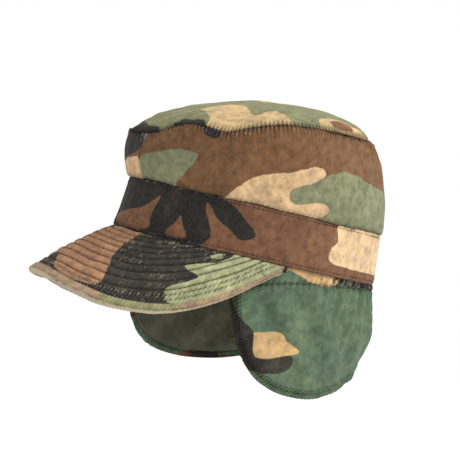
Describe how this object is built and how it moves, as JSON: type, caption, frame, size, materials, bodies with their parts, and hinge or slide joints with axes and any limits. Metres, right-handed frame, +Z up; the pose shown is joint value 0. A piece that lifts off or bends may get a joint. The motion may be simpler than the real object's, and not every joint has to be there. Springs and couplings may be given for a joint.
{
  "type": "field cap",
  "caption": "Soft field cap with a leaning crown, a quilted cloth visor and a skirt of ear and nape flaps that folds up inside.",
  "frame": {"origin": "centre of the head opening, in the plane of the band's lower edge", "axes": "+Z up through the crown, -Y forward along the visor, +X towards the wearer's left ear"},
  "size_m": [0.1742, 0.2614, 0.2047],
  "materials": {
    "camouflage_twill": "matt washed cotton twill with large printed patches",
    "thread": "matt sewing thread",
    "canvas": "stiff cotton canvas",
    "sweatband_cotton": "soft cotton band",
    "label_tape": "plain woven tape with nothing printed on it",
    "seam_tape": "cotton binding tape",
    "visor_stiffener": "smooth flexible board",
    "elastic": "ribbed woven elastic",
    "flannel": "brushed cotton flannel"
  },
  "bodies": {
    "cap": {"outer_band": "camouflage_twill", "band_interlining": "canvas", "sweatband": "sweatband_cotton", "size_label": "label_tape", "band_upper_thread": "thread", "band_lower_thread": "thread", "side_crown_left": "camouflage_twill", "side_crown_right": "camouflage_twill", "crown_seam_tape": "seam_tape", "crown_seam_thread": "thread", "crown_top": "camouflage_twill", "visor_under_cloth": "camouflage_twill", "visor_board": "visor_stiffener", "visor_top_cloth": "camouflage_twill", "visor_edge_binding": "camouflage_twill", "visor_quilting_thread": "thread", "flap_casing": "camouflage_twill", "nape_elastic": "elastic", "casing_thread": "thread"},
    "ear_left_flap": {"ear_left_flap_cloth": "camouflage_twill", "ear_left_flap_lining": "flannel"},
    "quarter_left_flap": {"quarter_left_flap_cloth": "camouflage_twill", "quarter_left_flap_lining": "flannel"},
    "nape_flap": {"nape_flap_cloth": "camouflage_twill", "nape_flap_lining": "flannel"},
    "quarter_right_flap": {"quarter_right_flap_cloth": "camouflage_twill", "quarter_right_flap_lining": "flannel"},
    "ear_right_flap": {"ear_right_flap_cloth": "camouflage_twill", "ear_right_flap_lining": "flannel"}
  },
  "joints": [
    {"name": "ear_left_fold", "type": "hinge", "parent": "cap", "child": "ear_left_flap", "pos_m": [0.06828, -0.01315, -0.0044], "axis": [0.1292, 0.9916, 0], "range_deg": [0, 180], "deforming": ["ear_left_flap_cloth", "ear_left_flap_lining"]},
    {"name": "quarter_left_fold", "type": "hinge", "parent": "cap", "child": "quarter_left_flap", "pos_m": [0.05521, 0.05058, -0.0044], "axis": [-0.5268, 0.85, 0], "range_deg": [0, 180], "deforming": ["quarter_left_flap_cloth", "quarter_left_flap_lining"]},
    {"name": "nape_fold", "type": "hinge", "parent": "cap", "child": "nape_flap", "pos_m": [0, 0.07907, -0.0044], "axis": [-1, 0, 0], "range_deg": [0, 180], "deforming": ["nape_flap_cloth", "nape_flap_lining"]},
    {"name": "quarter_right_fold", "type": "hinge", "parent": "cap", "child": "quarter_right_flap", "pos_m": [-0.05521, 0.05058, -0.0044], "axis": [-0.5268, -0.85, 0], "range_deg": [0, 180], "deforming": ["quarter_right_flap_cloth", "quarter_right_flap_lining"]},
    {"name": "ear_right_fold", "type": "hinge", "parent": "cap", "child": "ear_right_flap", "pos_m": [-0.06828, -0.01315, -0.0044], "axis": [0.1292, -0.9916, 0], "range_deg": [0, 180], "deforming": ["ear_right_flap_cloth", "ear_right_flap_lining"]}
  ],
  "couplings": [
    {"joint": "ear_left_fold", "follows": "nape_fold", "ratio": 1},
    {"joint": "quarter_left_fold", "follows": "nape_fold", "ratio": 1},
    {"joint": "quarter_right_fold", "follows": "nape_fold", "ratio": 1},
    {"joint": "ear_right_fold", "follows": "nape_fold", "ratio": 1}
  ]
}
